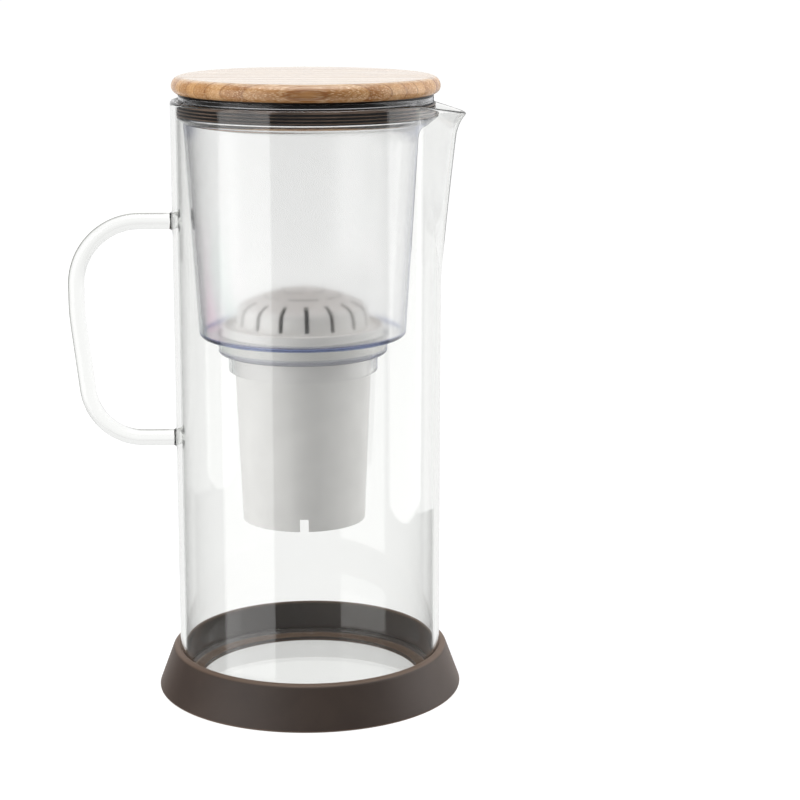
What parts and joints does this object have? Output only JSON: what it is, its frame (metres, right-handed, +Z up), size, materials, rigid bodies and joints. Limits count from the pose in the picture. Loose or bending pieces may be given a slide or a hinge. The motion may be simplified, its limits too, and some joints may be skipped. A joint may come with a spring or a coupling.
{
  "type": "water filter jug",
  "caption": "Glass jug with a pulled spout and rod handle, a clear funnel reservoir with a push-in filter cartridge, a lift-off bamboo lid and a silicone base.",
  "frame": {"origin": "on the jug's axis, in the plane of the base's underside", "axes": "+Z up, +X towards the spout, -X towards the handle"},
  "size_m": [0.1852, 0.145, 0.2921],
  "materials": {
    "glass": "polished clear",
    "taupe_silicone": "satin",
    "clear_plastic": "polished clear with a faint violet tint",
    "brown_silicone": "satin",
    "white_silicone": "satin",
    "white_plastic": "fine matte",
    "filter_mesh": "fine woven",
    "carbon": "granular",
    "resin_beads": "granular",
    "bamboo": "oiled laminated strips"
  },
  "bodies": {
    "jug": {"glass_jug": "glass", "glass_handle": "glass", "silicone_base": "taupe_silicone"},
    "reservoir": {"reservoir": "clear_plastic", "reservoir_gasket": "brown_silicone", "cartridge_seal": "white_silicone"},
    "cartridge": {"cartridge_cup": "white_plastic", "cartridge_cap": "white_plastic", "top_screen": "filter_mesh", "carbon_bed": "carbon", "middle_screen": "filter_mesh", "resin_bed": "resin_beads", "bottom_screen": "filter_mesh"},
    "lid": {"bamboo_lid": "bamboo", "lid_seal": "brown_silicone"}
  },
  "joints": [
    {"name": "reservoir_lift", "type": "slide", "parent": "jug", "child": "reservoir", "axis": [0, 0, 1], "range_m": [0, 0.21]},
    {"name": "cartridge_lift", "type": "slide", "parent": "reservoir", "child": "cartridge", "axis": [0, 0, 1], "range_m": [0, 0.075]},
    {"name": "lid_lift", "type": "slide", "parent": "reservoir", "child": "lid", "axis": [0, 0, 1], "range_m": [0, 0.12]}
  ]
}
